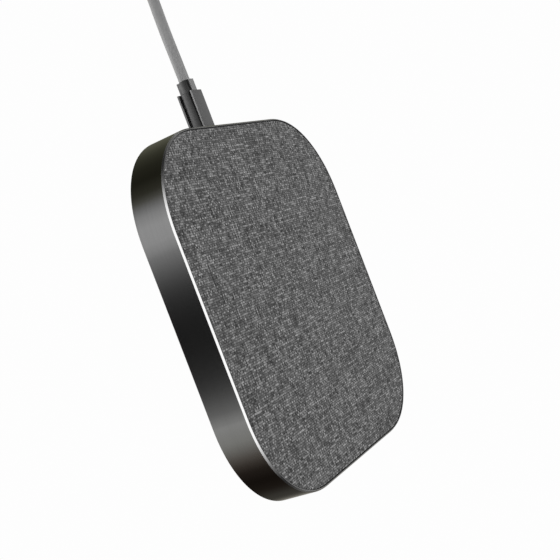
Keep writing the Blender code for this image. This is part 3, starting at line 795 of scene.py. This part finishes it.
rim = {
    "low": 1.0 * mm,
    "top": 11.33 * mm,
    "chamfer": 0.50 * mm,
    "chamferWidth": 0.34 * mm,
    "lip": 0.22 * mm,
    "ledge": 8.9 * mm,
    "ledgeDepth": 1.0 * mm,
    "ledgeInset": 2.8 * mm,
    "wall": 1.6 * mm,
    "edge": 0.05 * mm,
    "footChamfer": 0.15 * mm,
    "sharpAngle": 20.0,  # degrees
}
notch = {
    "gap": 0.3 * mm,  # clearance round the strain relief
    "width": 5.5 * mm,  # of the strain relief
    "top": 2.5 * mm,  # of the strain relief, above the lead's middle
    "from": 46.2 * mm,
    "to": 52.0 * mm,
    "below": -1.0 * mm,
}


def makeRim():
    # a closed section carried round the plan: out from the foot, up the wall, over the bright chamfer and the
    # lip, down to the ledge that the plate rests on, and back down inside
    lip = rim["chamferWidth"] + rim["lip"]
    corners = [
        (rim["footChamfer"], rim["low"]), (0.0, rim["low"] + rim["footChamfer"]),
        (0.0, rim["top"] - rim["chamfer"]), (rim["chamferWidth"], rim["top"]),
        (lip, rim["top"]), (lip, rim["ledge"]),
        (rim["ledgeInset"], rim["ledge"]), (rim["ledgeInset"], rim["ledge"] - rim["ledgeDepth"]),
        (rim["wall"], rim["ledge"] - 2 * rim["ledgeDepth"]), (rim["wall"], rim["low"]),
    ]
    piece = planSurface("rimShell", easedProfile(corners, rim["edge"], 2, closed=True))
    cutNotch(piece)
    place(piece, "rim", rimMaterial(), "rim")
    bright = grainMaterial("cutChamfer", rimFinish["chamfer"], rimFinish["chamferRoughness"], 1.0, depth=0.0,
                           variation=0.04)
    piece.data.materials.append(bright)
    centres = np.zeros(len(piece.data.polygons) * 3, np.float32)
    piece.data.polygons.foreach_get("center", centres)
    centres = centres.reshape(-1, 3)
    edge = rim["edge"] * 0.3  # the bright cut takes in the outer part of its two eased edges
    high = centres[:, 2] > rim["top"] - rim["chamfer"] - edge
    outer = planInset(centres) < rim["chamferWidth"] + edge
    piece.data.polygons.foreach_set("material_index", (high & outer).astype(np.int32))
    piece.data.set_sharp_from_angle(angle=math.radians(rim["sharpAngle"]))


def planInset(points):
    # how far a point lies inside the plan's edge: the corner's reach less (x^n + y^n)^(1/n), or less x or y
    flat = plan["half"] - plan["cornerReach"]
    x = np.abs(points[:, 0]) - flat
    y = np.abs(points[:, 1]) - flat
    power = plan["cornerPower"]
    corner = (x.clip(0) ** power + y.clip(0) ** power) ** (1 / power)
    return plan["cornerReach"] - np.maximum(corner, np.maximum(x, y))


def cutNotch(piece):
    # the opening for the strain relief, cut right through the wall and open below
    middle, _, height = lead["exit"]
    across = notch["width"] / 2 + notch["gap"]
    low = Vector((middle - across, notch["from"], notch["below"]))
    high = Vector((middle + across, notch["to"], height + notch["top"] + notch["gap"]))
    bm = bmesh.new()
    bmesh.ops.create_cube(bm, size=1.0)
    bmesh.ops.scale(bm, vec=high - low, verts=bm.verts)
    bmesh.ops.translate(bm, vec=(low + high) / 2, verts=bm.verts)
    mesh = bpy.data.meshes.new("notchTool")
    bm.to_mesh(mesh)
    bm.free()
    tool = added("notchTool", mesh)
    cutter = piece.modifiers.new("notch", "BOOLEAN")
    cutter.operation = "DIFFERENCE"
    cutter.object = tool
    bpy.context.view_layer.update()
    graph = bpy.context.evaluated_depsgraph_get()
    result = bpy.data.meshes.new_from_object(piece.evaluated_get(graph))
    piece.modifiers.clear()
    piece.data = result
    bpy.data.objects.remove(tool)
    piece.data.shade_smooth()


makeRim()
print("the rim is in place")

cover = {
    "inset": 0.71 * mm,
    "thickness": 0.5 * mm,
    "top": 11.25 * mm,
    "hem": 9.4 * mm,
    "roll": 0.42 * mm,  # rounding where the cloth turns over the plate's edge
    "flat": 2.0 * mm,  # from the edge to the first of the flat rings
    "rings": 22,
    "ringScales": (0.95, 0.04),  # the flat rings shrink evenly from the first to the last
}


def makeCover():
    # one profile runs from the middle of the underside out, down the inside of the skirt, round the hem,
    # up the outside and back over the rolled edge to the middle of the top
    inside = cover["inset"] + cover["thickness"]
    under = cover["top"] - cover["thickness"]
    walls = easedProfile([(inside + cover["flat"], under), (inside, under), (inside, cover["hem"]),
                          (cover["inset"], cover["hem"]), (cover["inset"], cover["top"]),
                          (cover["inset"] + cover["flat"], cover["top"])], cover["roll"], 6)
    scales = np.linspace(*cover["ringScales"], cover["rings"])
    rings = [levelRing(planRing(walls[0][0]) * scale, under) for scale in scales[::-1]]
    rings += [levelRing(planRing(inset), height) for inset, height in walls]
    rings += [levelRing(planRing(walls[-1][0]) * scale, cover["top"]) for scale in scales]
    piece = gridPiece("fabricCover", np.array(rings))
    place(piece, "fabric", clothMaterial(), "fabric_cover")


foot = {
    "inset": 8.0 * mm,
    "width": 3.4 * mm,
    "top": 1.4 * mm,
    "edge": 0.35 * mm,
    "colour": (0.028, 0.028, 0.03),
    "roughness": 0.75,
}


def makeFoot():
    inner = foot["inset"] + foot["width"]
    corners = [(foot["inset"], foot["top"]), (foot["inset"], 0.0), (inner, 0.0), (inner, foot["top"])]
    piece = planSurface("footRing", easedProfile(corners, foot["edge"], 4, closed=True))
    silicone = grainMaterial("silicone", foot["colour"], foot["roughness"], scale=1100, depth=0.03,
                             variation=0.12)
    place(piece, "foot", silicone, "foot_ring")


makeCover()
makeFoot()
print("the cover and the foot are in place")

# what stays as the frame has it
blackPlastic = (0.018, 0.018, 0.019)
steelColour = (0.55, 0.55, 0.56)
copperColour = (0.62, 0.27, 0.13)
kept = [
    # material, slot, nodes
    (grainMaterial("blackMoulding", blackPlastic, 0.55, scale=1200, depth=0.04, variation=0.2), "base",
     ["base_cover", "top_plate", "coil_frame", "plug_tongue"]),
    (windingMaterial("litzWinding", copperColour, 1.1 * mm), "copper", ["transmit_coil"]),
    (grainMaterial("litzLead", copperColour, 0.4, 1.0, scale=2500, depth=0.05), "copper",
     ["coil_lead_1", "coil_lead_2"]),
    (grainMaterial("ferrite", (0.05, 0.05, 0.054), 0.6, scale=2200, depth=0.02, variation=0.4), "ferrite",
     ["ferrite_sheet", "power_inductor"]),
    (grainMaterial("shieldSheet", (0.7, 0.7, 0.71), 0.35, 1.0, scale=500, depth=0.004, stretch=(1, 20, 1)),
     "shield", ["shield_plate"]),
    (cellMaterial("foamCells", (0.32, 0.32, 0.33), 0.95, 2200.0, 0.15), "foam", ["foam_pad"]),
    (cellMaterial("solderMask", (0.015, 0.13, 0.05), 0.4, 420.0, 0.02), "circuit_board", ["main_board"]),
    (grainMaterial("chipEpoxy", (0.018, 0.018, 0.02), 0.5, scale=3000, depth=0.02, variation=0.25), "chip",
     ["controller_chip"] + [f"mosfet_{k}" for k in range(1, 5)]),
    (grainMaterial("ceramicBody", (0.42, 0.31, 0.2), 0.5, scale=2400, depth=0.01), "ceramic",
     ["thermistor"] + [f"resonant_capacitor_{k}" for k in range(1, 5)]),
    (grainMaterial("screwSteel", steelColour, 0.32, 1.0, scale=1800, depth=0.004), "steel",
     [f"screw_{k}" for k in range(1, 5)] + ["board_screw_1", "board_screw_2"]),
    (grainMaterial("contactGold", (0.83, 0.6, 0.24), 0.24, 1.0, scale=1800, depth=0.003), "gold",
     [f"plug_contact_{k}" for k in range(1, 5)]),
]
wires = {
    "wire_supply": ("redInsulation", "red_wire", (0.45, 0.02, 0.02)),
    "wire_ground": ("blackInsulation", "black_wire", (0.02, 0.02, 0.02)),
    "wire_data_plus": ("greenInsulation", "green_wire", (0.02, 0.3, 0.06)),
    "wire_data_minus": ("whiteInsulation", "white_wire", (0.75, 0.75, 0.74)),
}
for wire, (name, slot, colour) in wires.items():
    kept.append((grainMaterial(name, colour, 0.4, scale=2000, depth=0.01), slot, [wire]))
for material, slot, names in kept:
    for name in names:
        nodes[name].data.materials.clear()
        nodes[name].data.materials.append(material)
print("the inner pieces have their materials")
